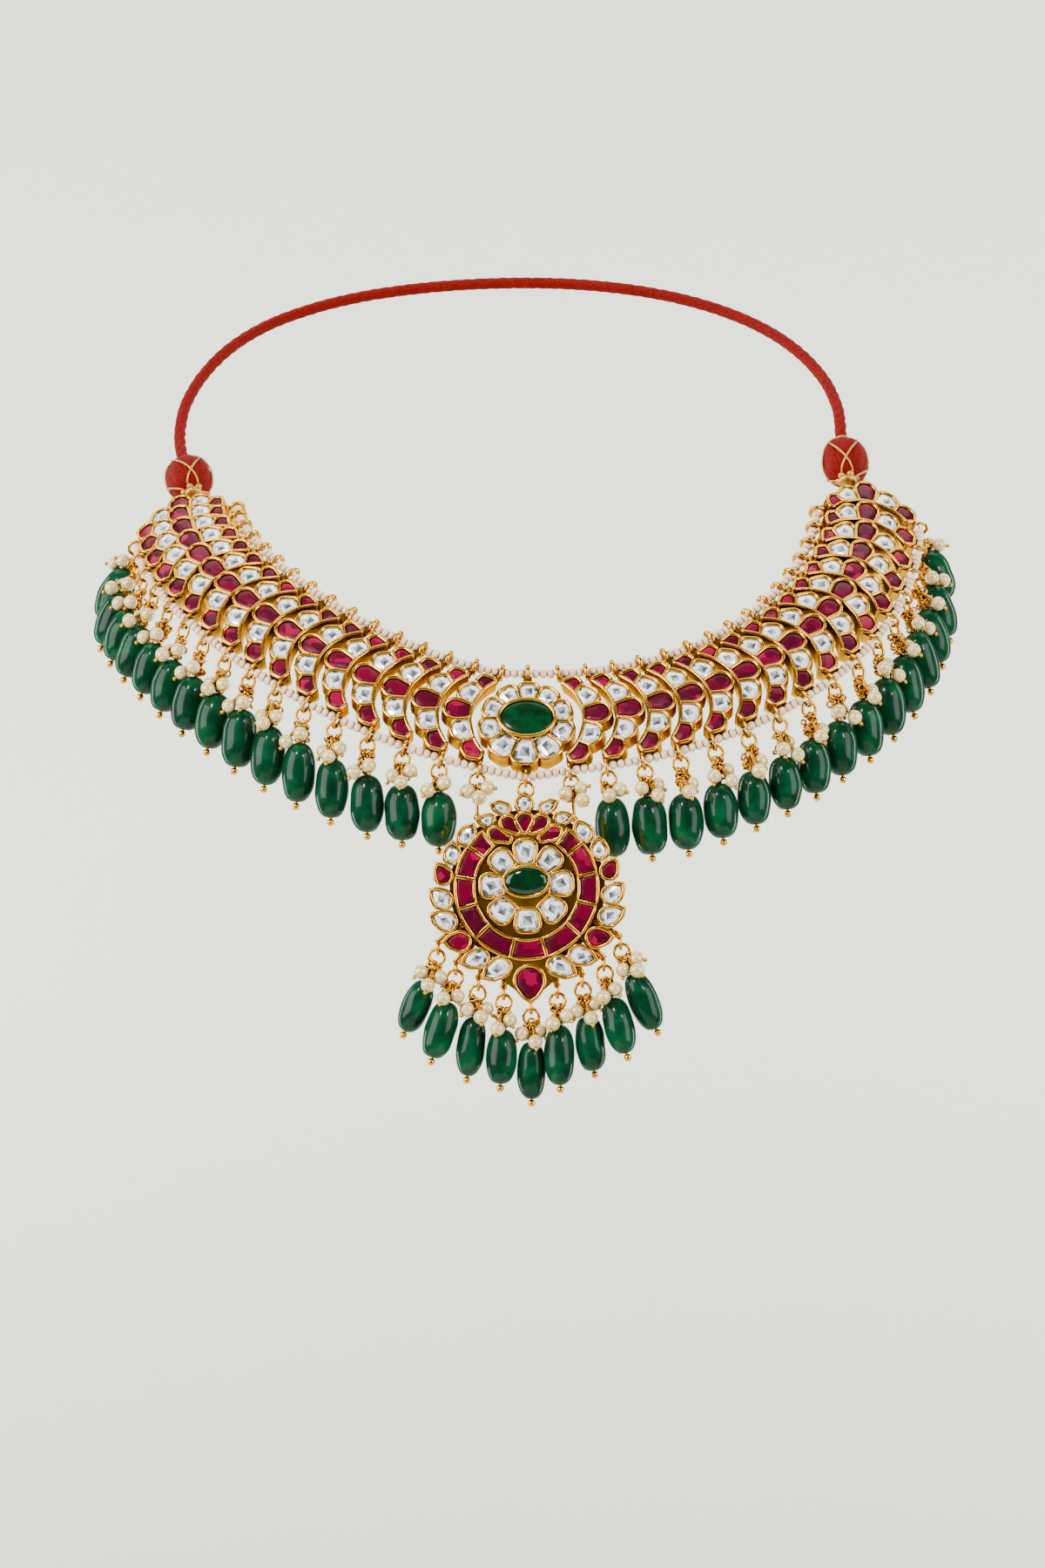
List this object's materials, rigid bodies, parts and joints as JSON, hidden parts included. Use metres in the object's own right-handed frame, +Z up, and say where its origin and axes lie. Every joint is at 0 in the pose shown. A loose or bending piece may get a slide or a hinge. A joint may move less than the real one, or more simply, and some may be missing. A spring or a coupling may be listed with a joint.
{
  "type": "polki necklace",
  "caption": "Polki collar of nested crescent links round a centre flower, with a round pendant, green bead drops, seed bead strings, thread balls and a back cord.",
  "frame": {"origin": "middle of the neck opening", "axes": "+X to the wearer's left, which is the viewer's right, +Y to the back of the neck, +Z up"},
  "size_m": [0.2098, 0.1376, 0.2041],
  "materials": {
    "gold": "polished, warm yellow gold",
    "polki": "clear flat-cut stone over foil",
    "ruby": "deep pink-red stone over foil",
    "emerald": "dark green cabochon",
    "green_bead": "tumbled dark green stone, polished",
    "seed_bead": "pearly cream seed beads",
    "red_silk": "wound silk thread"
  },
  "bodies": {
    "band": {"link_left_01": "gold", "link_left_02": "gold", "link_left_03": "gold", "link_left_04": "gold", "link_left_05": "gold", "link_left_06": "gold", "link_left_07": "gold", "link_left_08": "gold", "link_left_09": "gold", "link_left_10": "gold", "link_left_11": "gold", "link_left_12": "gold", "link_left_13": "gold", "link_left_14": "gold", "link_left_15": "gold", "link_left_16": "gold", "link_right_01": "gold", "link_right_02": "gold", "link_right_03": "gold", "link_right_04": "gold", "link_right_05": "gold", "link_right_06": "gold", "link_right_07": "gold", "link_right_08": "gold", "link_right_09": "gold", "link_right_10": "gold", "link_right_11": "gold", "link_right_12": "gold", "link_right_13": "gold", "link_right_14": "gold", "link_right_15": "gold", "link_right_16": "gold", "center_flower": "gold", "center_emerald": "emerald", "left_link_polki": "polki", "right_link_polki": "polki", "left_link_rubies": "ruby", "right_link_rubies": "ruby", "top_seed_string": "seed_bead", "low_seed_string": "seed_bead", "left_drop_wires": "gold", "right_drop_wires": "gold", "left_green_beads": "green_bead", "right_green_beads": "green_bead", "left_thread_ball": "red_silk", "right_thread_ball": "red_silk", "back_cord": "red_silk"},
    "ring": {"jump_ring": "gold"},
    "pendant": {"pendant_setting": "gold", "pendant_emerald": "emerald", "pendant_polki": "polki", "pendant_rubies": "ruby", "pendant_drop_wires": "gold", "pendant_green_beads": "green_bead"}
  },
  "joints": [
    {"name": "pendant_sway", "type": "hinge", "parent": "band", "child": "ring", "pos_m": [0.00403, -0.06206, -0.06358], "axis": [0, 1, 0], "range_deg": [-6, 6]},
    {"name": "pendant_swing", "type": "hinge", "parent": "ring", "child": "pendant", "pos_m": [0.00403, -0.06206, -0.06612], "axis": [-1, 0, 0], "range_deg": [-4, 30]}
  ]
}
